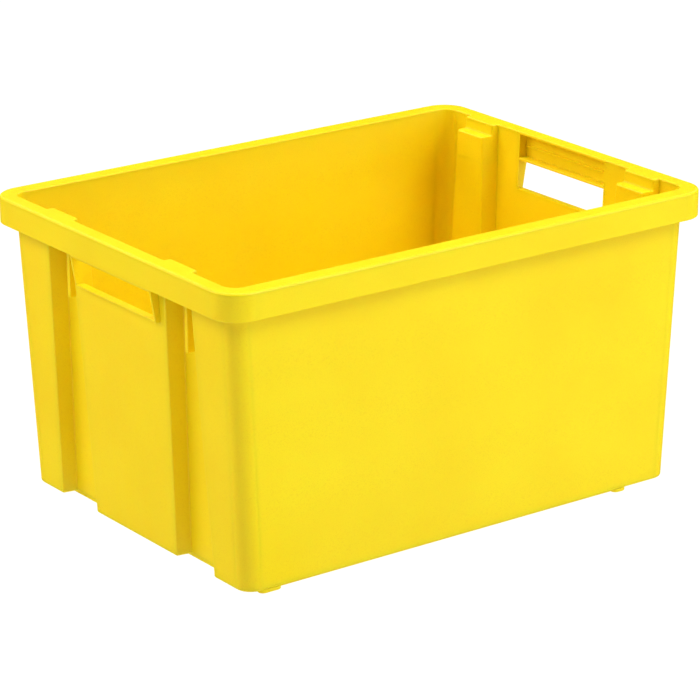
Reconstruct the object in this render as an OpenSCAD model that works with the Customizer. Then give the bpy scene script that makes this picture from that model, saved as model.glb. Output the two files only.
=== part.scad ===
// Stacking crate that nests one way round and stacks the other way round.
// Origin: centre of the footprint, on the ground. +X along the long side, +Z up.
// The crate is one moulding: each node is one region of it, bounded by its feature lines.

/* [Overall size] */
// Outside length over the rim
length = 600; // [560:5:660]
// Outside width over the rim
width = 440; // [420:5:480]
// Height from the ground to the top of the rim
height = 320; // [300:2:360]

/* [Walls] */
// Thickness of the walls, skirt and column sides
wall = 2.8; // [2.2:0.1:3.4]
// How far the end walls stand in from the rim's outside, at the ground
end_inset_base = 30; // [27:1:34]
// How far the end walls stand in from the rim's outside, at the top
end_inset_rim = 14; // [13:0.5:16]
// How far the long walls stand in from the rim's outside, at the ground
side_inset_base = 22; // [20:1:26]
// How far the long walls stand in from the rim's outside, at the top
side_inset_rim = 17; // [15:0.5:19]
// Outside radius of the body's upright corners
body_r = 18; // [14:1:22]

/* [Rim] */
// Outside radius of the rim's corners, seen from above
rim_r = 30; // [26:1:36]
// Depth of the skirt below the top of the rim
skirt_h = 29; // [24:1:34]
// Thickness of the flat flange on top
flange_t = 3; // [2.5:0.1:4]

/* [Base] */
// Height of the ring and the feet under the floor
foot_h = 4; // [3:0.5:5]
// Thickness of the floor
floor_t = 3; // [2.5:0.5:4]
// Width of the ring under the floor
ring_w = 8; // [6:1:12]
// How far the ring stands in from the outside of the long walls
ring_inset = 7; // [6:1:9]
// How far the ring stands in from the bottoms of the grooves
ring_groove_gap = 2; // [1:0.5:4]
// How much less far the ring reaches to the right of the middle than to the left
ring_right_short = 37; // [0:1:45]
// Length of each foot at the left end
left_foot_l = 26; // [20:1:34]
// Length of each foot at the right end
right_foot_l = 17; // [14:1:30]
// How far a foot stands out of the ring
foot_w = 6; // [3:0.5:6.5]
// Number of ribs across the floor's underside
cross_ribs = 5; // [3:2:7]
// Number of ribs along the floor's underside
long_ribs = 2; // [2:1:4]

/* [Stacking columns] */
// Distance of the left end's columns from the middle
left_column_y = 108; // [106:1:110]
// Distance of the right end's columns from the middle
right_column_y = 135; // [133:1:137]
// Width of a column's groove at the ground
groove_w_base = 67; // [64:1:68]
// Width of a column's groove at the top
groove_w_rim = 43; // [41:1:45]
// Depth of a groove at the ground
groove_d_base = 16; // [14:1:18]
// Depth of a groove at the top
groove_d_rim = 20; // [18:1:22]
// Depth of the short groove between the ledge and the rim
upper_groove_d = 7.5; // [5:0.5:8]
// Sideways lean of a column's side for each millimetre of its depth
side_lean = 0.15; // [0.1:0.01:0.2]
// Height of the stacking ledges above the ground
ledge_z = 307; // [304:1:310]

/* [Nest stops] */
// Height of the lower end of the nest stops above the ground
stop_z = 230; // [215:1:245]
// Thickness of a nest stop
stop_t = 5; // [4:0.5:6]
// Distance of a nest stop's outer edge from the outside of the rim
stop_inset = 25; // [24:1:28]

/* [Hand-holds] */
// Clear width of a hand-hold
hand_w = 143; // [120:1:145]
// Height of a hand-hold's lower edge above the ground
hand_z = 256; // [248:1:260]
// Height of the grip's underside above the ground
grip_z = 288; // [285:1:290]
// How far the pocket stands out of the end wall at its lower edge
pocket_out_base = 5; // [4:0.5:6]
// How far the pocket stands out of the end wall at the grip
pocket_out_top = 9.5; // [8:0.5:10]
// Thickness of the pocket's sides and floor
pocket_t = 2.5; // [2:0.1:3]
// Height of the stiffening bead across the pocket's back
bead_z = 301; // [298:1:304]

/* [Colour] */
// Colour of the plastic
crate_colour = [0.97, 0.82, 0.09];

/* [Hidden] */
ENDS = ["left", "right"];
ROWS = ["front", "rear"];
SIDE_PARTS = ["wall", "skirt", "flange"];
END_PARTS = ["centre_panel", "hand_hold", "grip", "skirt", "flange"];
CORNER_PARTS = ["corner_post", "rim_corner", "foot"];
COLUMN_PARTS = ["outer_panel", "column", "ledge", "nest_stop"];

arc_fn = 96;
arc_steps = 12;
joint = 0.01;                     // a hair of overlap that makes two shapes of one node one solid
floor_z = foot_h + floor_t;       // top of the floor, where the walls start
flange_z = height - flange_t;     // underside of the flange
skirt_z = height - skirt_h;       // lower edge of the skirt
bead_h = 3;
bead_out = 1.5;
rib_t = 3;
past = 1;                         // how far a cut runs past what it cuts
rib_gap = 1;                      // clearance of the floor's ribs above the ground

// Outside of the end walls and of the long walls at a height
function end_x(z) = length / 2 - end_inset_rim - (end_inset_base - end_inset_rim) * (1 - z / height);
function side_y(z) = width / 2 - side_inset_rim - (side_inset_base - side_inset_rim) * (1 - z / height);
// Half the width of a groove, and its depth, at a height
function groove_half(z) = (groove_w_base + (groove_w_rim - groove_w_base) * z / height) / 2;
function groove_d(z) = groove_d_base + (groove_d_rim - groove_d_base) * z / height;
// Distance of an end's columns from the middle
function column_y(end) = end == "left" ? left_column_y : right_column_y;
// How far the pocket stands out of the end wall at a height
function pocket_out(z) = z > grip_z ? pocket_out_top
    : pocket_out_base + (pocket_out_top - pocket_out_base) * (z - hand_z) / (grip_z - hand_z);

rim_in_x = end_x(flange_z) - wall;   // inner edge of the flange at the ends
rim_in_y = side_y(flange_z) - wall;  // inner edge of the flange along the sides
corner_x = end_x(flange_z) - body_r;  // where the straight rim ends and a rim corner starts
corner_y = side_y(flange_z) - body_r;

// Puts a shape that is drawn at the right end, or the rear, at the named one
module at_end(end) { if (end == "right") children(); else mirror([1, 0, 0]) children(); }
module at_row(row) { if (row == "rear") children(); else mirror([0, 1, 0]) children(); }

// Solid between one outline at z0 and another with as many points at z1
module loft(lower, upper, z0, z1) {
    n = len(lower);
    points = concat([for (p = lower) [p[0], p[1], z0]], [for (p = upper) [p[0], p[1], z1]]);
    sides = [for (i = [0 : n - 1]) [i, i + n, (i + 1) % n + n, (i + 1) % n]];
    ends = [[for (i = [0 : n - 1]) i], [for (i = [n - 1 : -1 : 0]) i + n]];
    polyhedron(points, concat(sides, ends));
}

// Slab drawn as an outline in the XZ plane and w wide along Y
module slab(w, outline) rotate([90, 0, 0]) linear_extrude(w, center = true) polygon(outline);

function box_2d(x0, x1, y0, y1) = [[x0, y0], [x1, y0], [x1, y1], [x0, y1]];
function arc(cx, cy, r, a0, a1) =
    [for (i = [0 : arc_steps]) let (a = a0 + (a1 - a0) * i / arc_steps) [cx + r * cos(a), cy + r * sin(a)]];

// ---------- base ----------

// Plan of the body at the floor, with the grooves cut in
module floor_plan() {
    x = end_x(floor_z);
    y = side_y(floor_z);
    g = groove_half(floor_z);
    d = groove_d(floor_z);
    difference() {
        union() {
            square([2 * x, 2 * (y - body_r)], center = true);
            square([2 * (x - body_r), 2 * y], center = true);
            for (sx = [-1, 1], sy = [-1, 1])
                translate([sx * (x - body_r), sy * (y - body_r)]) circle(body_r, $fn = arc_fn);
        }
        for (end = ENDS, row = ROWS) at_end(end) at_row(row) translate([0, column_y(end)])
            polygon([[x + joint, -g], [x + joint, g], [x, g], [x - d, g - side_lean * d],
                [x - d, -g + side_lean * d], [x, -g]]);
    }
}

module base_floor() {
    color(crate_colour) translate([0, 0, foot_h]) linear_extrude(floor_t) floor_plan();
}

ring_left = end_x(0) - groove_d_base - ring_groove_gap;  // how far the ring reaches to the left of the middle
ring_right = ring_left - ring_right_short;               // and how far to the right
ring_y = side_y(0) - ring_inset;                         // half the ring's outside width

// Left end, right end and half the width of the space inside the ring
rib_x0 = ring_w - ring_left;
rib_x1 = ring_right - ring_w;
rib_y = ring_y - ring_w;

module base_ring() {
    color(crate_colour) linear_extrude(foot_h) difference() {
        translate([-ring_left, -ring_y]) square([ring_left + ring_right, 2 * ring_y]);
        translate([rib_x0, -rib_y]) square([rib_x1 - rib_x0, 2 * rib_y]);
    }
}

// Middle of each rib across the floor and of each rib along it
function cross_rib_x(i) = rib_x0 + (rib_x1 - rib_x0) * i / (cross_ribs + 1);
function long_rib_y(i) = -rib_y + 2 * rib_y * i / (long_ribs + 1);

// Ribs across the floor's underside, a little clear of the ground
module base_cross_ribs() {
    color(crate_colour) translate([0, 0, rib_gap]) for (i = [1 : cross_ribs])
        translate([cross_rib_x(i) - rib_t / 2, -rib_y]) cube([rib_t, 2 * rib_y, foot_h - rib_gap]);
}

// Ribs along it, in pieces that fit between the ring and the ribs across
module base_long_ribs() {
    for (i = [1 : long_ribs], k = [0 : cross_ribs]) {
        x0 = k == 0 ? rib_x0 : cross_rib_x(k) + rib_t / 2;
        x1 = k == cross_ribs ? rib_x1 : cross_rib_x(k + 1) - rib_t / 2;
        color(crate_colour) translate([x0, long_rib_y(i) - rib_t / 2, rib_gap])
            cube([x1 - x0, rib_t, foot_h - rib_gap]);
    }
}

// Lug on the outside of the ring near a corner
module foot(end, row) {
    reach = end == "left" ? ring_left : ring_right;
    long = end == "left" ? left_foot_l : right_foot_l;
    color(crate_colour) at_end(end) at_row(row) linear_extrude(foot_h)
        translate([reach - long, ring_y]) {
            translate([foot_w, 0]) square([long - 2 * foot_w, foot_w]);
            for (x = [foot_w, long - foot_w]) translate([x, 0]) intersection() {
                circle(foot_w, $fn = arc_fn);
                translate([-foot_w, 0]) square([2 * foot_w, foot_w]);
            }
        }
}

// ---------- walls ----------

function side_wall_at(z) = let (x = end_x(z) - body_r, y = side_y(z)) box_2d(-x, x, y - wall, y);

module side_wall(row) {
    color(crate_colour) at_row(row) loft(side_wall_at(floor_z), side_wall_at(flange_z), floor_z, flange_z);
}

// Quarter disc of radius r about a corner's axis, with its straight sides set back by a distance
function corner_at(z, r, back) = let (x = end_x(z) - body_r, y = side_y(z) - body_r)
    concat([[x - back, y - back], [x + r, y - back]], arc(x, y, r, 0, 90), [[x - back, y + r]]);

module corner_post(end, row) {
    inside_r = body_r - wall;
    color(crate_colour) at_end(end) at_row(row) difference() {
        loft(corner_at(floor_z, body_r, 0), corner_at(flange_z, body_r, 0), floor_z, flange_z);
        loft(corner_at(floor_z - past, inside_r, past), corner_at(flange_z + past, inside_r, past),
            floor_z - past, flange_z + past);
    }
}

// Between an end's two columns, with the window of the hand-hold
function centre_at(end, z) = let (x = end_x(z), y = column_y(end) - groove_half(z) - wall)
    box_2d(x - wall, x, -y, y);

module centre_panel(end) {
    window_w = hand_w + 2 * pocket_t;
    window_z = hand_z - pocket_t;
    color(crate_colour) at_end(end) difference() {
        loft(centre_at(end, floor_z), centre_at(end, flange_z), floor_z, flange_z);
        translate([0, -window_w / 2, window_z]) cube([length, window_w, height]);
    }
}

// Between a column and the corner
function outer_at(end, z) = let (x = end_x(z))
    box_2d(x - wall, x, column_y(end) + groove_half(z) + wall, side_y(z) - body_r);

module outer_panel(end, row) {
    color(crate_colour) at_end(end) at_row(row)
        loft(outer_at(end, floor_z), outer_at(end, flange_z), floor_z, flange_z);
}

// ---------- stacking columns ----------

// Outside of a column whose groove is d deep, and the groove itself, at a height
function block_at(end, z, d) = let (x = end_x(z), c = column_y(end), g = groove_half(z) + wall, b = g - side_lean * d) [
    [x, c - g], [x, c + g], [x - wall, c + g], [x - d - wall, c + b], [x - d - wall, c - b], [x - wall, c - g]];
function groove_at(end, z, d) = let (x = end_x(z), c = column_y(end), g = groove_half(z), b = g - side_lean * d,
    f = g + side_lean * past) [[x - d, c - b], [x + past, c - f], [x + past, c + f], [x - d, c + b]];

// Channel between two heights, d0 deep at the lower one and d1 deep at the upper one
module channel(end, z0, z1, d0, d1) {
    slope = (d1 - d0) / (z1 - z0) * past;
    difference() {
        loft(block_at(end, z0, d0), block_at(end, z1, d1), z0, z1);
        loft(groove_at(end, z0 - past, d0 - slope), groove_at(end, z1 + past, d1 + slope), z0 - past, z1 + past);
    }
}

// Strip across a column between two depths of its groove, at a height
function shelf_at(end, z, d0, d1) = let (x = end_x(z) - wall, c = column_y(end), g = groove_half(z) + wall,
    b0 = g - side_lean * d0, b1 = g - side_lean * d1) [
    [x - d0, c - b0], [x - d1, c - b1], [x - d1, c + b1], [x - d0, c + b0]];

// Hollow column up to the ledge, and the shallower one above it with its cap at the rim
module column(end, row) {
    top = ledge_z - wall;
    color(crate_colour) at_end(end) at_row(row) {
        channel(end, floor_z, top, groove_d(floor_z), groove_d(top));
        channel(end, top - joint, flange_z, upper_groove_d, upper_groove_d);
        cap = shelf_at(end, flange_z, upper_groove_d, 0);
        loft(cap, cap, flange_z - joint, height);
    }
}

// Flat top of a column, which the next crate stands on
module ledge(end, row) {
    z0 = ledge_z - wall;
    color(crate_colour) at_end(end) at_row(row)
        loft(shelf_at(end, z0, groove_d(z0), upper_groove_d), shelf_at(end, ledge_z, groove_d(ledge_z), upper_groove_d),
            z0, ledge_z);
}

// Upright rib in the groove, whose lower end rests on the ledge of the crate that this one nests in
function stop_at(end, z) = box_2d(end_x(z) - groove_d(z), length / 2 - stop_inset,
    column_y(end) - stop_t / 2, column_y(end) + stop_t / 2);

module nest_stop(end, row) {
    top = ledge_z - wall;
    color(crate_colour) at_end(end) at_row(row) loft(stop_at(end, stop_z), stop_at(end, top), stop_z, top);
}

// ---------- hand-holds ----------

// Outside of the pocket at a height
function pocket_x(z) = end_x(z) + pocket_out(z);

// Pocket that stands out of the window: two cheeks, a floor and the back above the opening
module hand_hold(end) {
    low = hand_z - pocket_t;
    back = grip_z - pocket_t;
    outline = [[end_x(low) - wall, low], [end_x(low) + pocket_out_base, low], [pocket_x(grip_z), grip_z],
        [pocket_x(flange_z), flange_z], [end_x(flange_z) - wall, flange_z]];
    space = [[0, hand_z], [length, hand_z], [length, back], [pocket_x(back) - pocket_t, back],
        [pocket_x(grip_z) - pocket_t, grip_z], [pocket_x(height) - pocket_t, height], [0, height]];
    bead = [for (p = [[-bead_out, 0], [joint, 0], [joint, bead_h], [-bead_out, bead_h]])
        [pocket_x(bead_z) - pocket_t + p[0], bead_z + p[1]]];
    color(crate_colour) at_end(end) {
        difference() {
            slab(hand_w + 2 * pocket_t, outline);
            slab(hand_w, space);
        }
        slab(hand_w, bead);
    }
}

// Bar that the fingers hold, from the pocket's back to the inside of the wall
function grip_at(z) = box_2d(end_x(z) - wall, pocket_x(z) - pocket_t, -hand_w / 2, hand_w / 2);

module grip(end) {
    color(crate_colour) at_end(end) loft(grip_at(grip_z), grip_at(grip_z + wall), grip_z, grip_z + wall);
}

// ---------- rim ----------

module side_flange(row) {
    color(crate_colour) at_row(row) translate([-corner_x, rim_in_y, flange_z])
        cube([2 * corner_x, width / 2 - rim_in_y, flange_t]);
}

module side_skirt(row) {
    color(crate_colour) at_row(row) translate([-corner_x, width / 2 - wall, skirt_z])
        cube([2 * corner_x, wall, flange_z - skirt_z]);
}

module end_flange(end) {
    color(crate_colour) at_end(end) translate([rim_in_x, -corner_y, flange_z])
        cube([length / 2 - rim_in_x, 2 * corner_y, flange_t]);
}

module end_skirt(end) {
    color(crate_colour) at_end(end) translate([length / 2 - wall, -corner_y, skirt_z])
        cube([wall, 2 * corner_y, flange_z - skirt_z]);
}

// Quarter of the rim's outline beyond the straight parts, set in by a distance
module rim_quarter(inset) {
    x = length / 2 - rim_r;
    y = width / 2 - rim_r;
    r = rim_r - inset;
    intersection() {
        translate([corner_x, corner_y]) square([length, width]);
        union() {
            square([x + r, y]);
            square([x, y + r]);
            translate([x, y]) circle(r, $fn = arc_fn);
        }
    }
}

module rim_corner(end, row) {
    color(crate_colour) at_end(end) at_row(row) {
        translate([0, 0, flange_z]) linear_extrude(flange_t) difference() {
            rim_quarter(0);
            translate([corner_x, corner_y]) circle(body_r - wall, $fn = arc_fn);
        }
        translate([0, 0, skirt_z]) linear_extrude(flange_z - skirt_z + joint) difference() {
            rim_quarter(0);
            rim_quarter(wall);
        }
    }
}

base_floor();  // floor
base_ring();
base_cross_ribs();
base_long_ribs();
for (row = ROWS) {
    side_wall(row);
    side_skirt(row);
    side_flange(row);
}
for (end = ENDS) {
    centre_panel(end);
    hand_hold(end);
    grip(end);
    end_skirt(end);
    end_flange(end);
}
for (end = ENDS, row = ROWS) {
    foot(end, row);
    corner_post(end, row);
    outer_panel(end, row);
    column(end, row);
    ledge(end, row);
    nest_stop(end, row);
    rim_corner(end, row);
}
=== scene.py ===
"""Looks of the stacking crate: one yellow moulding, built region by region round the CAD frame."""

import math

import bmesh
import bpy
from mathutils import Matrix, Vector


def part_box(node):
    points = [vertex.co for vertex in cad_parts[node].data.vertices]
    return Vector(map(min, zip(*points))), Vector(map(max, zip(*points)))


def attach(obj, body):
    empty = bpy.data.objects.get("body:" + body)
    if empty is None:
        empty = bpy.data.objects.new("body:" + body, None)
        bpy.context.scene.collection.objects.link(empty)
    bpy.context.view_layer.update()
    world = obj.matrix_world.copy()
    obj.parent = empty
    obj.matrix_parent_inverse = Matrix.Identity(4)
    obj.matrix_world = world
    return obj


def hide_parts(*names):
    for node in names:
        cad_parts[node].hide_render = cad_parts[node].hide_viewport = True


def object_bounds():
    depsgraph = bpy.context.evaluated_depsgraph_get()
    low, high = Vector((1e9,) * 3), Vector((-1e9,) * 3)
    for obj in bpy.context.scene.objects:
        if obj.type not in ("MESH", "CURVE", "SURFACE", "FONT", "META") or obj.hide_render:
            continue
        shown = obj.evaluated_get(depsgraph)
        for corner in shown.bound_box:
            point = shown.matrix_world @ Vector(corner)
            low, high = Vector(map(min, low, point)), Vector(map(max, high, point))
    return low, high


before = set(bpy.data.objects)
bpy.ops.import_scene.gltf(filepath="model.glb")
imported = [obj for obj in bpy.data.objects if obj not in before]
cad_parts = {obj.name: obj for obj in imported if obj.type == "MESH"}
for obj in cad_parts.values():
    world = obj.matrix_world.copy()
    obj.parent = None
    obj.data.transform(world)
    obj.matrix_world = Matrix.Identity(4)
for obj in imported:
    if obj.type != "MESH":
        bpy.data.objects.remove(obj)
CAD_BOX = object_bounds()

MM = 0.001
ENDS = ("left", "right")
ROWS = ("front", "rear")

# ---------- dimensions, read from the frame ----------

_, (HALF_L, HALF_W, HEIGHT) = CAD_BOX
BASE_Z, FLOOR_Z = (corner.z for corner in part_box("floor"))
FLANGE_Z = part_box("rear_flange")[0].z
SKIRT_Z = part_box("rear_skirt")[0].z
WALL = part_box("rear_skirt")[1].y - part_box("rear_skirt")[0].y
LEDGE_LO, LEDGE_Z = (corner.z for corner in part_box("rear_right_ledge"))
COLUMN_Y = {end: sum(corner.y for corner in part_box(f"rear_{end}_column")) / 2 for end in ENDS}
LEAN = 0.15             # sideways lean of a column's side for each unit of its depth
BODY_R = 18 * MM        # outside radius of the body's upright corners
RIM_R = 30 * MM         # outside radius of the rim's corners


def line(z0, v0, z1, v1):
    """The straight line through two values, as a function of height."""
    return lambda z: v0 + (v1 - v0) * (z - z0) / (z1 - z0)


def measured_lines():
    """Where the end walls and side walls stand, and a groove's half width and depth, by height."""
    panel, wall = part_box("right_centre_panel"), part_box("rear_wall")
    column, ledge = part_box("rear_right_column"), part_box("rear_right_ledge")
    end_x = line(FLOOR_Z, panel[0].x + WALL, FLANGE_Z, panel[1].x)
    side_y = line(FLOOR_Z, wall[0].y + WALL, FLANGE_Z, wall[1].y)
    upper = end_x(LEDGE_Z) - WALL - ledge[1].x
    half = line(FLOOR_Z, (column[1].y - column[0].y) / 2 - WALL,
                LEDGE_LO, (ledge[1].y - ledge[0].y) / 2 - WALL + LEAN * upper)
    depth = line(FLOOR_Z, end_x(FLOOR_Z) - WALL - column[0].x,
                 LEDGE_LO, end_x(LEDGE_LO) - WALL - ledge[0].x)
    return end_x, side_y, half, depth, upper


end_x, side_y, groove_half, groove_depth, UPPER_D = measured_lines()

HOLD_LO, HOLD_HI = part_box("right_hand_hold")
GRIP_LO, GRIP_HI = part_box("right_grip")
POCKET_T = HOLD_HI.y - GRIP_HI.y            # thickness of the pocket's sides, floor and back
POCKET_OUT_TOP = HOLD_HI.x - end_x(FLANGE_Z)
POCKET_OUT_BASE = 5 * MM                    # how far its foot stands out of the wall
BEAD_Z, BEAD_H, BEAD_OUT = 301 * MM, 3 * MM, 1.5 * MM
RING_W = 8 * MM                             # width of the ring under the floor
RIB_T, RIB_DRAFT = 3 * MM, 0.5 * MM         # a rib's thickness, and how much narrower each side is below
CROSS_RIBS, LONG_RIBS = 5, 2

# Roundings
MOUTH_R = (1.8 * MM, 1.0 * MM)    # groove's mouth, outside and inside the wall
BACK_R = (1.2 * MM, 2.4 * MM)     # groove's back corners, outside and inside the wall
FLOOR_R = 4 * MM                  # where the walls meet the floor, inside
BASE_R = 2.6 * MM                 # bottom edge
RIM_OUT_R = 2.8 * MM              # outer top edge of the rim
RIM_IN_R = 1.6 * MM               # inner top edge of the rim
SKIRT_R = 1.0 * MM                # lower edge of the skirt
LEDGE_R = (1.2 * MM, 1.6 * MM)    # ledge, below and on top
FOOT_R = 1.0 * MM                 # lower edge of a lug
RING_EDGE = 1 * MM                # chamfer on the ring's lower edges
POCKET_R = 0.9 * MM               # outer edges of a hand-hold, and inner edges of its grip
BACK_EDGE_R = 0.7 * MM            # lower edges of the pocket's back
STOP_R = 0.8 * MM                 # outer edges and foot of a nest stop
SEAM = 1 * MM                     # how far a seam between two regions lies from the nearest rounding
HAIR = 0.1 * MM                   # how near to a plane a point has to be to count as on it
ARC_STEPS = 14                    # steps round a corner of the body or the rim
FILLET_STEPS = 4                  # steps round a rounding in plan
LUG_STEPS = 6                     # steps round an end of a lug
QUARTER_TURN = [math.radians(a) for a in (0, 22.5, 45, 67.5, 90)]


# ---------- plan of the walls and the rim ----------


def fillet(before, corner, after, radius):
    """The arc that rounds a corner between two straight lines, as points."""
    a, b = (before - corner).normalized(), (after - corner).normalized()
    half = a.angle(b) / 2
    centre = corner + (a + b).normalized() * radius / math.sin(half)
    v0 = corner + a * radius / math.tan(half) - centre
    v1 = corner + b * radius / math.tan(half) - centre
    turn = v0.angle(v1)
    steps = [i / FILLET_STEPS for i in range(FILLET_STEPS + 1)]
    return [centre + (v0 * math.sin((1 - t) * turn) + v1 * math.sin(t * turn)) / math.sin(turn)
            for t in steps]


def arc(cx, cy, r):
    """A quarter circle from the +X side to the +Y side."""
    angles = [math.pi / 2 * i / ARC_STEPS for i in range(ARC_STEPS + 1)]
    return [Vector((cx + r * math.cos(a), cy + r * math.sin(a))) for a in angles]


def body_quarter(end, z, depth, off):
    """Plan of the body in the +X +Y quarter, from the middle of the end wall to the middle of the side wall.

    depth is the groove's, and off the distance inside the body's outer surface."""
    x, y, c = end_x(z) - off, side_y(z) - off, COLUMN_Y[end]
    arc_x, arc_y = end_x(z) - BODY_R, side_y(z) - BODY_R
    inside = min(off / WALL, 1)
    mouth_r = MOUTH_R[0] + (MOUTH_R[1] - MOUTH_R[0]) * inside
    back_r = BACK_R[0] + (BACK_R[1] - BACK_R[0]) * inside
    mouth = groove_half(z) + off
    back = mouth - LEAN * depth
    seam = groove_half(z) + WALL + SEAM + max(off - WALL, 0)
    corners = [Vector(p) for p in ((x, c - seam), (x, c - mouth), (x - depth, c - back),
                                   (x - depth, c + back), (x, c + mouth), (x, c + seam))]
    points = [Vector((x, 0)), Vector((x, min(HOLD_HI.y, c - seam - SEAM))), corners[0]]
    for i, radius in enumerate((mouth_r, back_r, back_r, mouth_r), start=1):
        points += fillet(corners[i - 1], corners[i], corners[i + 1], radius)
    points += [corners[5], Vector((x, arc_y - SEAM))]
    points += arc(arc_x, arc_y, BODY_R - off)
    return points + [Vector((arc_x - SEAM, y)), Vector((0, y))]


# Places along a quarter where one region ends and the next starts
AT_COLUMN = 2
AT_OUTER = AT_COLUMN + 4 * (FILLET_STEPS + 1) + 1
AT_CORNER = AT_OUTER + 1
AT_ARC = AT_CORNER + 1
AT_SIDE = AT_ARC + ARC_STEPS + 1
AT_MIDDLE = AT_SIDE + 1


def rim_quarter(end, inset):
    """Plan of the rim in the same quarter, point for point beside the body's."""
    body = body_quarter(end, FLANGE_Z, UPPER_D, 0)
    x, y = HALF_L - inset, HALF_W - inset
    return ([Vector((x, p.y)) for p in body[:AT_ARC]]
            + arc(HALF_L - RIM_R, HALF_W - RIM_R, RIM_R - inset)
            + [Vector((p.x, y)) for p in body[AT_SIDE:]])


def ring(z, quarter):
    """Closed outline at a height, from the plans of the quarters at the right and the left end."""
    right, left = quarter("right"), quarter("left")
    points = [(p.x, p.y) for p in right]
    points += [(-p.x, p.y) for p in reversed(left[:-1])]
    points += [(-p.x, -p.y) for p in left[1:]]
    points += [(p.x, -p.y) for p in reversed(right[1:-1])]
    return [Vector((x, y, z)) for x, y in points]


def body_ring(z, depth, off, plan_z=None):
    return ring(z, lambda end: body_quarter(end, z if plan_z is None else plan_z, depth, off))


def rim_ring(z, inset):
    return ring(z, lambda end: rim_quarter(end, inset))


def place(end, row, local):
    """Where a point of one quarter lies along a closed outline."""
    if row == "rear":
        return local if end == "right" else 2 * AT_MIDDLE - local
    return 2 * AT_MIDDLE + local if end == "left" else 4 * AT_MIDDLE - local


def span(first, last):
    """Consecutive places along a closed outline."""
    return [i % (4 * AT_MIDDLE) for i in range(min(first, last), max(first, last) + 1)]


def corner_span(end, row, start, stop):
    return span(place(end, row, start), place(end, row, stop))


def end_span(end, local):
    """The stretch in the middle of an end, out to one place of each of its quarters."""
    if end == "left":
        return span(place(end, "rear", local), place(end, "front", local))
    return span(place(end, "front", local), 4 * AT_MIDDLE + local)


def side_span(row):
    return span(place("right", row, AT_SIDE), place("left", row, AT_SIDE))


# ---------- meshes ----------


def finish_piece(name, bm, nodes):
    """Makes a piece of the crate from a bmesh, in place of some CAD nodes."""
    bmesh.ops.remove_doubles(bm, verts=bm.verts, dist=0.001 * MM)
    bmesh.ops.dissolve_degenerate(bm, edges=bm.edges, dist=0.0005 * MM)
    bmesh.ops.recalc_face_normals(bm, faces=bm.faces)
    mesh = bpy.data.meshes.new(name)
    bm.to_mesh(mesh)
    bm.free()
    mesh.shade_smooth()
    mesh.set_sharp_from_angle(angle=math.radians(35))
    mesh.materials.append(PLASTIC)
    piece = bpy.data.objects.new(name, mesh)
    bpy.context.scene.collection.objects.link(piece)
    weighted = piece.modifiers.new("flat faces stay flat", "WEIGHTED_NORMAL")
    weighted.keep_sharp = True
    weighted.weight = 80
    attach(piece, "root")
    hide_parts(*nodes)
    return piece


def sheet_piece(name, nodes, levels, where, gap=lambda level, i: False):
    """A stretch of thick wall between two stacks of outlines. gap says which cells are left out."""
    bm = bmesh.new()
    outer = [[bm.verts.new(pair[0][i]) for i in where] for pair in levels]
    inner = [[bm.verts.new(pair[1][i]) for i in where] for pair in levels]
    rows, columns = len(levels) - 1, len(where) - 1

    def solid(k, i):
        return 0 <= k < rows and 0 <= i < columns and not gap(k, where[i])

    for k in range(rows):
        for i in range(columns):
            if not solid(k, i):
                continue
            bm.faces.new((outer[k][i], outer[k][i + 1], outer[k + 1][i + 1], outer[k + 1][i]))
            bm.faces.new((inner[k][i], inner[k + 1][i], inner[k + 1][i + 1], inner[k][i + 1]))
            for (dk, di), a, b in (((-1, 0), (k, i), (k, i + 1)), ((1, 0), (k + 1, i), (k + 1, i + 1)),
                                   ((0, -1), (k, i), (k + 1, i)), ((0, 1), (k, i + 1), (k + 1, i + 1))):
                if not solid(k + dk, i + di):
                    edge = outer[a[0]][a[1]], outer[b[0]][b[1]], inner[b[0]][b[1]], inner[a[0]][a[1]]
                    bm.faces.new(edge)
    loose = [v for v in bm.verts if not v.link_faces]
    bmesh.ops.delete(bm, geom=loose, context="VERTS")
    return finish_piece(name, bm, nodes)


def swept_piece(name, nodes, section, where):
    """A closed section, given as a list of outlines, swept along a stretch of them."""
    bm = bmesh.new()
    rows = [[bm.verts.new(outline[i]) for i in where] for outline in section]
    count = len(rows)
    for k in range(count):
        a, b = rows[k], rows[(k + 1) % count]
        for i in range(len(where) - 1):
            bm.faces.new((a[i], a[i + 1], b[i + 1], b[i]))
    bm.faces.new([row[0] for row in rows])
    bm.faces.new([row[-1] for row in rows])
    return finish_piece(name, bm, nodes)


def prism(bm, outline, y0, y1):
    """Solid between two y, drawn as an outline of (x, z)."""
    near = [bm.verts.new((x, y0, z)) for x, z in outline]
    far = [bm.verts.new((x, y1, z)) for x, z in outline]
    faces = [bm.faces.new(near), bm.faces.new(far)]
    for i, start in enumerate(near):
        j = (i + 1) % len(near)
        faces.append(bm.faces.new((start, near[j], far[j], far[i])))
    return faces


def tapered_box(bm, lower, upper):
    """Solid between two rectangles, each given as (x0, x1, y0, y1, z)."""
    rings = [[bm.verts.new(p) for p in ((x0, y0, z), (x1, y0, z), (x1, y1, z), (x0, y1, z))]
             for x0, x1, y0, y1, z in (lower, upper)]
    bm.faces.new(rings[0])
    bm.faces.new(rings[1])
    for i in range(4):
        j = (i + 1) % 4
        bm.faces.new((rings[0][i], rings[0][j], rings[1][j], rings[1][i]))


def flat_rib(bm, x0, x1, y0, y1, z0, z1):
    """Straight rib, a little narrower at its lower edge."""
    dx, dy = (RIB_DRAFT, 0) if x1 - x0 < y1 - y0 else (0, RIB_DRAFT)
    tapered_box(bm, (x0 + dx, x1 - dx, y0 + dy, y1 - dy, z0), (x0, x1, y0, y1, z1))


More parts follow.
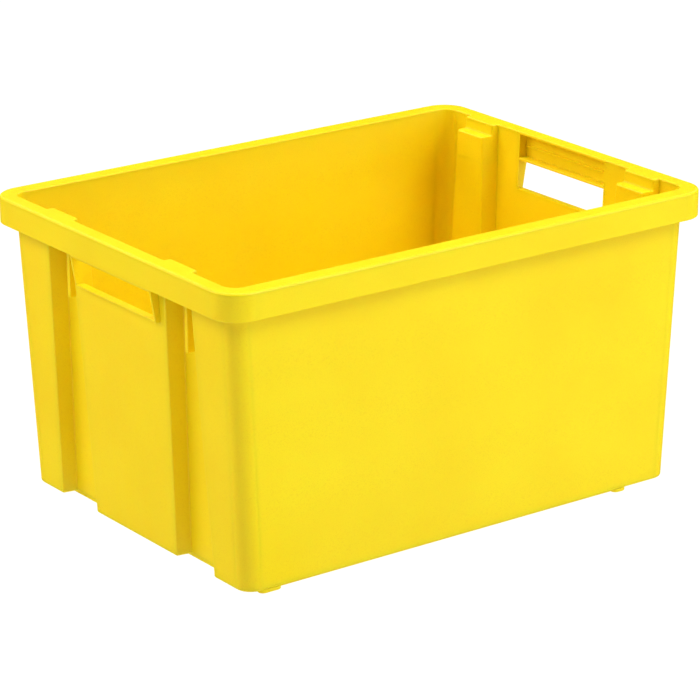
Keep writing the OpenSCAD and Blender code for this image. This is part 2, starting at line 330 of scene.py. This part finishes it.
def round_edges(bm, radius, chosen, segments=3):
    """Rounds the edges whose two ends both pass a test, where two faces meet at an angle."""
    bmesh.ops.recalc_face_normals(bm, faces=bm.faces)
    edges = [e for e in bm.edges if all(chosen(v.co) for v in e.verts)
             and len(e.link_faces) == 2 and e.calc_face_angle() > math.radians(25)]
    bmesh.ops.bevel(bm, geom=edges, offset=radius, segments=segments, profile=0.5, affect="EDGES",
                    clamp_overlap=True)


def turn_to(bm, end):
    """Mirrors what was drawn at the right end to the named one."""
    if end == "left":
        bmesh.ops.scale(bm, vec=(-1, 1, 1), verts=bm.verts)


# ---------- material ----------


def node(tree, kind, inputs=None, **settings):
    """Adds a shader node; inputs are values or the output sockets that feed them."""
    n = tree.nodes.new(kind)
    for key, value in settings.items():
        setattr(n, key, value)
    for key, value in (inputs or {}).items():
        if isinstance(value, bpy.types.NodeSocket):
            tree.links.new(value, n.inputs[key])
        else:
            n.inputs[key].default_value = value
    return n


def mixed(tree, factor, a, b):
    """Output of a colour mix."""
    mix = node(tree, "ShaderNodeMix", data_type="RGBA")
    for socket, value in ((mix.inputs[0], factor), (mix.inputs[6], a), (mix.inputs[7], b)):
        if isinstance(value, bpy.types.NodeSocket):
            tree.links.new(value, socket)
        else:
            socket.default_value = value
    return mix.outputs[2]


def noise(tree, place_socket, scale, detail=3.0):
    made = node(tree, "ShaderNodeTexNoise", {"Vector": place_socket, "Scale": scale, "Detail": detail})
    return made.outputs[0]


def band(tree, value, low, high, to_low=0.0, to_high=1.0):
    """Maps a value from one range to another, clamped."""
    made = node(tree, "ShaderNodeMapRange", {"Value": value, "From Min": low, "From Max": high,
                                             "To Min": to_low, "To Max": to_high})
    return made.outputs[0]


def make_plastic():
    """Satin yellow polypropylene: cloudy colour, fine moulded grain, faint flow marks and rubbed patches."""
    material = bpy.data.materials.new("yellow_polypropylene")
    material.use_nodes = True
    tree = material.node_tree
    tree.nodes.clear()
    where = node(tree, "ShaderNodeTexCoord").outputs["Object"]
    cloud = band(tree, noise(tree, where, 7, 2), 0.3, 0.7)
    colour = mixed(tree, cloud, (0.905, 0.695, 0.004, 1), (0.950, 0.755, 0.006, 1))
    speck = band(tree, noise(tree, where, 900, 2), 0.52, 0.70, 0, 0.55)
    colour = mixed(tree, speck, colour, (0.84, 0.61, 0.004, 1))

    stretched = node(tree, "ShaderNodeMapping", {"Vector": where, "Scale": (60, 60, 4)}).outputs[0]
    flow = noise(tree, stretched, 1, 3)
    rubbed = band(tree, noise(tree, where, 24, 6), 0.52, 0.68)
    roughness = band(tree, flow, 0.3, 0.7, 0.38, 0.46)
    scuffed = node(tree, "ShaderNodeMath", {0: rubbed, 1: 0.07}, operation="MULTIPLY").outputs[0]
    roughness = node(tree, "ShaderNodeMath", {0: roughness, 1: scuffed}, operation="ADD").outputs[0]

    grain = noise(tree, where, 750, 2)
    ripple = noise(tree, where, 14, 1)
    fine = node(tree, "ShaderNodeBump", {"Height": grain, "Strength": 0.40, "Distance": 0.0003})
    bumped = node(tree, "ShaderNodeBump", {"Height": ripple, "Strength": 0.12, "Distance": 0.0015,
                                           "Normal": fine.outputs[0]})
    shader = node(tree, "ShaderNodeBsdfPrincipled", {
        "Base Color": colour, "Roughness": roughness, "IOR": 1.49,
        "Specular IOR Level": 0.3, "Normal": bumped.outputs[0],
        "Subsurface Weight": 0.4, "Subsurface Radius": (1.0, 0.62, 0.08), "Subsurface Scale": 0.004})
    output = node(tree, "ShaderNodeOutputMaterial")
    tree.links.new(shader.outputs[0], output.inputs["Surface"])
    return material


PLASTIC = make_plastic()


# ---------- walls ----------


def wall_levels():
    """Pairs of outlines, outside and inside, from the floor to the flange, and the level of each landmark."""
    levels = []

    def level(outer, inner):
        levels.append((body_ring(*outer), body_ring(*inner)))

    for a in QUARTER_TURN:
        z = FLOOR_Z + FLOOR_R * (1 - math.cos(a))
        depth = groove_depth(z)
        level((z, depth, 0), (z, depth, WALL + FLOOR_R * (1 - math.sin(a))))
    window_z = HOLD_LO.z
    plain = [FLOOR_Z + (window_z - FLOOR_Z) * share for share in (0.2, 0.4, 0.6, 0.8, 1)]
    for z in plain:
        level((z, groove_depth(z), 0), (z, groove_depth(z), WALL))
    window_level = len(levels) - 1
    middle = (window_z + LEDGE_LO) / 2
    level((middle, groove_depth(middle), 0), (middle, groove_depth(middle), WALL))
    ledge_level = len(levels) - 1
    deep = groove_depth(LEDGE_LO)
    for a in QUARTER_TURN:
        rise, back = 1 - math.sin(a), 1 - math.cos(a)
        level((LEDGE_LO - LEDGE_R[0] * rise, deep - LEDGE_R[0] * back, 0),
              (LEDGE_Z - LEDGE_R[1] * rise, deep - LEDGE_R[1] * back, WALL))
    for a in QUARTER_TURN:
        rise, back = 1 - math.cos(a), 1 - math.sin(a)
        level((LEDGE_LO + LEDGE_R[0] * rise, UPPER_D + LEDGE_R[0] * back, 0),
              (LEDGE_Z + LEDGE_R[1] * rise, UPPER_D + LEDGE_R[1] * back, WALL))
    level((FLANGE_Z, UPPER_D, 0), (FLANGE_Z, UPPER_D, WALL))
    return levels, window_level, ledge_level


LEVELS, WINDOW_LEVEL, LEDGE_LEVEL = wall_levels()


def make_walls():
    for row in ROWS:
        sheet_piece(f"moulded_{row}_wall", [f"{row}_wall"], LEVELS, side_span(row))
    window = {end: set(end_span(end, 1)[:-1]) for end in ENDS}
    for end in ENDS:
        sheet_piece(f"moulded_{end}_centre_panel", [f"{end}_centre_panel"], LEVELS, end_span(end, AT_COLUMN),
                    lambda level, i: level >= WINDOW_LEVEL and i in window[end])
        for row in ROWS:
            corner = f"{row}_{end}"
            sheet_piece(f"moulded_{corner}_corner_post", [f"{corner}_corner_post"], LEVELS,
                        corner_span(end, row, AT_CORNER, AT_SIDE))
            sheet_piece(f"moulded_{corner}_outer_panel", [f"{corner}_outer_panel"], LEVELS,
                        corner_span(end, row, AT_OUTER, AT_CORNER))
            column = corner_span(end, row, AT_COLUMN, AT_OUTER)
            sheet_piece(f"moulded_{corner}_column", [f"{corner}_column"], LEVELS[:LEDGE_LEVEL + 1], column)
            sheet_piece(f"moulded_{corner}_ledge", [f"{corner}_ledge"], LEVELS[LEDGE_LEVEL:], column)


# ---------- rim ----------


def flange_section():
    """Outlines round the flange: up its inner edge, across the top, round the outer edge and back below."""
    section = [body_ring(FLANGE_Z, UPPER_D, WALL)]
    for a in QUARTER_TURN:
        section.append(body_ring(HEIGHT - RIM_IN_R * (1 - math.sin(a)), UPPER_D,
                                 WALL - RIM_IN_R * (1 - math.cos(a)), plan_z=FLANGE_Z))
    for a in QUARTER_TURN:
        section.append(rim_ring(HEIGHT - RIM_OUT_R * (1 - math.cos(a)), RIM_OUT_R * (1 - math.sin(a))))
    return section + [rim_ring(FLANGE_Z, 0), rim_ring(FLANGE_Z, WALL), body_ring(FLANGE_Z, UPPER_D, 0)]


def skirt_section():
    """Outlines round the skirt: down its outside, round the lower edge and up its inside."""
    section = [rim_ring(FLANGE_Z, 0)]
    for a in QUARTER_TURN:
        section.append(rim_ring(SKIRT_Z + SKIRT_R * (1 - math.sin(a)), SKIRT_R * (1 - math.cos(a))))
    for a in QUARTER_TURN:
        section.append(rim_ring(SKIRT_Z + SKIRT_R * (1 - math.cos(a)), WALL - SKIRT_R * (1 - math.sin(a))))
    return section + [rim_ring(FLANGE_Z, WALL)]


def make_rim():
    flange, skirt = flange_section(), skirt_section()
    for name, where in ([(row, side_span(row)) for row in ROWS]
                        + [(end, end_span(end, AT_CORNER)) for end in ENDS]):
        swept_piece(f"moulded_{name}_flange", [f"{name}_flange"], flange, where)
        swept_piece(f"moulded_{name}_skirt", [f"{name}_skirt"], skirt, where)
    for end in ENDS:
        for row in ROWS:
            corner = f"{row}_{end}_rim_corner"
            where = corner_span(end, row, AT_CORNER, AT_SIDE)
            swept_piece(f"moulded_{corner}_top", [corner], flange, where)
            swept_piece(f"moulded_{corner}_skirt", [corner], skirt, where)


# ---------- base ----------


def make_floor():
    depth = groove_depth(FLOOR_Z)
    outlines = [body_ring(FLOOR_Z, depth, 0)]
    for a in QUARTER_TURN:
        outlines.append(body_ring(BASE_Z + BASE_R * (1 - math.sin(a)), depth, BASE_R * (1 - math.cos(a)),
                                  plan_z=FLOOR_Z))
    bm = bmesh.new()
    rows = [[bm.verts.new(p) for p in outline] for outline in outlines]
    for a, b in zip(rows, rows[1:]):
        for i in range(len(a)):
            j = (i + 1) % len(a)
            bm.faces.new((a[i], a[j], b[j], b[i]))
    bm.faces.new(rows[0])
    bm.faces.new(rows[-1])
    finish_piece("moulded_floor", bm, ["floor"])


def make_ring():
    """Ring under the floor, with its lower edges chamfered."""
    (x0, y0, z0), (x1, y1, z1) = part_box("base_ring")
    edge = RING_EDGE
    profile = [(0, z1), (0, z0 + edge), (edge, z0), (RING_W - edge, z0), (RING_W, z0 + edge), (RING_W, z1)]
    bm = bmesh.new()
    rows = [[bm.verts.new((x, y, z)) for x, y in ((x1 - inset, y1 - inset), (x0 + inset, y1 - inset),
                                                   (x0 + inset, y0 + inset), (x1 - inset, y0 + inset))]
            for inset, z in profile]
    for k, a in enumerate(rows):
        b = rows[(k + 1) % len(rows)]
        for i in range(4):
            j = (i + 1) % 4
            bm.faces.new((a[i], a[j], b[j], b[i]))
    finish_piece("moulded_base_ring", bm, ["base_ring"])


def make_ribs():
    """Ribs under the floor: those across it, and between them those along it."""
    (_, _, z0), (_, y, z1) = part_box("base_cross_ribs")
    x0, x1 = (corner.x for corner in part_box("base_long_ribs"))
    middles = [x0 + (x1 - x0) * i / (CROSS_RIBS + 1) for i in range(1, CROSS_RIBS + 1)]
    bm = bmesh.new()
    for at in middles:
        flat_rib(bm, at - RIB_T / 2, at + RIB_T / 2, -y, y, z0, z1)
    finish_piece("moulded_base_cross_ribs", bm, ["base_cross_ribs"])
    stops = [x0 - RIB_T / 2] + middles + [x1 + RIB_T / 2]
    bm = bmesh.new()
    for i in range(1, LONG_RIBS + 1):
        at = -y + 2 * y * i / (LONG_RIBS + 1)
        for start, stop in zip(stops, stops[1:]):
            flat_rib(bm, start + RIB_T / 2, stop - RIB_T / 2, at - RIB_T / 2, at + RIB_T / 2, z0, z1)
    finish_piece("moulded_base_long_ribs", bm, ["base_long_ribs"])


def make_feet():
    """Lugs outside the ring, rounded at their ends and below."""
    for end in ENDS:
        for row in ROWS:
            lo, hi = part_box(f"{row}_{end}_foot")
            wide = hi.y - lo.y
            near, far = (lo.y, hi.y) if row == "rear" else (hi.y, lo.y)
            bm = bmesh.new()
            ends = []
            for cx, start in ((hi.x - wide, 0), (lo.x + wide, math.pi / 2)):
                for k in range(LUG_STEPS + 1):
                    a = start + math.pi / 2 * k / LUG_STEPS
                    ends.append((cx + wide * math.cos(a), near + (far - near) * math.sin(a)))
            top = [bm.verts.new((px, py, hi.z)) for px, py in ends]
            low = [bm.verts.new((px, py, lo.z)) for px, py in ends]
            bm.faces.new(top)
            bm.faces.new(low)
            for i in range(len(top)):
                j = (i + 1) % len(top)
                bm.faces.new((top[i], top[j], low[j], low[i]))
            round_edges(bm, FOOT_R, lambda p: p.z < lo.z + HAIR)
            finish_piece(f"moulded_{row}_{end}_foot", bm, [f"{row}_{end}_foot"])


# ---------- hand-holds and nest stops ----------


def pocket_x(z):
    """Outside of the pocket at a height."""
    share = (z - HOLD_LO.z - POCKET_T) / (GRIP_LO.z - HOLD_LO.z - POCKET_T)
    return end_x(z) + POCKET_OUT_BASE + (POCKET_OUT_TOP - POCKET_OUT_BASE) * min(max(share, 0), 1)


def make_hand_hold(end):
    """Pocket round the opening: two cheeks, a floor, and a back with a bead across it."""
    low, top = HOLD_LO.z, FLANGE_Z
    edge, wide = GRIP_HI.y, HOLD_HI.y
    inside = [end_x(low) - WALL, end_x(top) - WALL]
    cheek = [(inside[0], low), (pocket_x(low), low), (pocket_x(GRIP_LO.z), GRIP_LO.z), (pocket_x(top), top),
             (inside[1], top)]
    sill_z = low + POCKET_T
    sill = [(inside[0], low), (pocket_x(low), low), (pocket_x(sill_z), sill_z),
            (end_x(sill_z) - WALL, sill_z)]
    back_z = GRIP_LO.z - POCKET_T
    bead_x = [pocket_x(z) - POCKET_T for z in (BEAD_Z, BEAD_Z + BEAD_H)]
    back = [(pocket_x(back_z), back_z), (pocket_x(GRIP_LO.z), GRIP_LO.z), (pocket_x(top), top),
            (pocket_x(top) - POCKET_T, top), (bead_x[1], BEAD_Z + BEAD_H),
            (bead_x[1] - BEAD_OUT, BEAD_Z + BEAD_H - BEAD_H / 4), (bead_x[0] - BEAD_OUT, BEAD_Z + BEAD_H / 4),
            (bead_x[0], BEAD_Z), (pocket_x(GRIP_LO.z) - POCKET_T, GRIP_LO.z),
            (pocket_x(back_z) - POCKET_T, back_z)]
    bm = bmesh.new()
    for y0, y1 in ((-wide, -edge), (edge, wide)):
        prism(bm, cheek, y0, y1)
    round_edges(bm, POCKET_R, lambda p: p.x > end_x(p.z) + 2 * MM and p.z < top - MM)
    inner = bmesh.new()
    prism(inner, sill, -edge, edge)
    prism(inner, back, -edge, edge)
    round_edges(inner, BACK_EDGE_R, lambda p: p.z < back_z + MM and abs(p.x - end_x(p.z) + WALL) > MM)
    mesh = bpy.data.meshes.new("inner")
    inner.to_mesh(mesh)
    inner.free()
    bm.from_mesh(mesh)
    bpy.data.meshes.remove(mesh)
    turn_to(bm, end)
    finish_piece(f"moulded_{end}_hand_hold", bm, [f"{end}_hand_hold"])


def make_grip(end):
    """Bar across the pocket, with its inner edges rounded."""
    z0, z1, wide = GRIP_LO.z, GRIP_HI.z, GRIP_HI.y
    bm = bmesh.new()
    tapered_box(bm, (end_x(z0) - WALL, pocket_x(z0) - POCKET_T, -wide, wide, z0),
                (end_x(z1) - WALL, pocket_x(z1) - POCKET_T, -wide, wide, z1))
    round_edges(bm, POCKET_R, lambda p: p.x < end_x(p.z) - WALL + HAIR)
    turn_to(bm, end)
    finish_piece(f"moulded_{end}_grip", bm, [f"{end}_grip"])


def make_nest_stop(end, row):
    """Upright rib in a groove, with its outer edges and its foot rounded."""
    lo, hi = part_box(f"{row}_{end}_nest_stop")
    outer = max(abs(lo.x), abs(hi.x))
    bm = bmesh.new()
    rects = [(end_x(z) - groove_depth(z), outer, lo.y, hi.y, z) for z in (lo.z, hi.z)]
    tapered_box(bm, *rects)
    round_edges(bm, STOP_R, lambda p: p.x > outer - HAIR or p.z < lo.z + HAIR)
    turn_to(bm, end)
    finish_piece(f"moulded_{row}_{end}_nest_stop", bm, [f"{row}_{end}_nest_stop"])


make_walls()
make_rim()
make_floor()
make_ring()
make_ribs()
make_feet()
for end in ENDS:
    make_hand_hold(end)
    make_grip(end)
    for row in ROWS:
        make_nest_stop(end, row)


# ---------- scene ----------


def make_camera():
    """Long lens from the front left, a little above the rim."""
    yaw, pitch, roll = (math.radians(a) for a in (36.022, 19.018, -0.326))
    ahead = Vector((math.sin(yaw) * math.cos(pitch), math.cos(yaw) * math.cos(pitch), -math.sin(pitch)))
    level = Vector((math.cos(yaw), -math.sin(yaw), 0))
    over = level.cross(ahead)
    right = level * math.cos(roll) + over * math.sin(roll)
    up = over * math.cos(roll) - level * math.sin(roll)
    data = bpy.data.cameras.new("camera")
    data.sensor_width = 36
    data.lens = 174.99
    data.clip_end = 50
    camera = bpy.data.objects.new("camera", data)
    bpy.context.scene.collection.objects.link(camera)
    camera.matrix_world = Matrix.Translation((-1.9804, -2.7229, 1.3065)) @ (
        Matrix((right, up, -ahead)).transposed().to_4x4())
    bpy.context.scene.camera = camera


WHITE, WARM = (1, 1, 1), (1, 0.84, 0.55)

# Soft boxes round the crate: name, place, diameter, power and colour.
# None of them faces the near upright corner, which is darker than the walls beside it.
LIGHTS = (
    ("front_high", (1.0, -2.4, 2.7), 1.8, 60, WHITE),
    ("front_low", (1.9, -3.0, 1.2), 1.5, 34, WHITE),
    ("left_low", (-2.4, 2.6, 1.9), 1.8, 58, WARM),
    ("left_high", (-2.4, 0.5, 2.6), 1.8, 44, WARM),
    ("top", (0, 0, 3.0), 2.4, 48, WHITE),
    ("right", (3.2, 1.0, 2.2), 1.8, 18, WHITE),
    ("back", (0.3, 3.2, 2.4), 1.8, 16, WHITE),
)


def make_light(name, place_at, size, energy, colour, target=(0, 0, 0.15)):
    data = bpy.data.lights.new(name, "AREA")
    data.shape = "DISK"
    data.size = size
    data.energy = energy
    data.color = colour
    light = bpy.data.objects.new(name, data)
    bpy.context.scene.collection.objects.link(light)
    light.location = place_at
    light.visible_camera = False
    light.rotation_euler = (Vector(target) - Vector(place_at)).to_track_quat("-Z", "Y").to_euler()


def make_stage():
    """White floor, white surroundings and soft lights."""
    half = 40  # far enough that the floor's edge stays out of a low view
    corners = [(-half, -half, 0), (half, -half, 0), (half, half, 0), (-half, half, 0)]
    mesh = bpy.data.meshes.new("studio_floor")
    mesh.from_pydata(corners, [], [(0, 1, 2, 3)])
    floor = bpy.data.objects.new("studio_floor", mesh)
    bpy.context.scene.collection.objects.link(floor)
    paper = bpy.data.materials.new("studio_paper")
    paper.use_nodes = True
    shader = paper.node_tree.nodes["Principled BSDF"]
    shader.inputs["Base Color"].default_value = (0.06, 0.06, 0.06, 1)
    shader.inputs["Roughness"].default_value = 0.9
    shader.inputs["Emission Color"].default_value = (1, 1, 1, 1)
    shader.inputs["Emission Strength"].default_value = 1.0
    mesh.materials.append(paper)
    floor.visible_glossy = False
    world = bpy.data.worlds.new("studio")
    world.use_nodes = True
    background = world.node_tree.nodes["Background"]
    background.inputs["Color"].default_value = (1, 1, 1, 1)
    background.inputs["Strength"].default_value = 0.03
    bpy.context.scene.world = world
    for light in LIGHTS:
        make_light(*light)
    bpy.context.scene.view_settings.view_transform = "Standard"


make_camera()
make_stage()
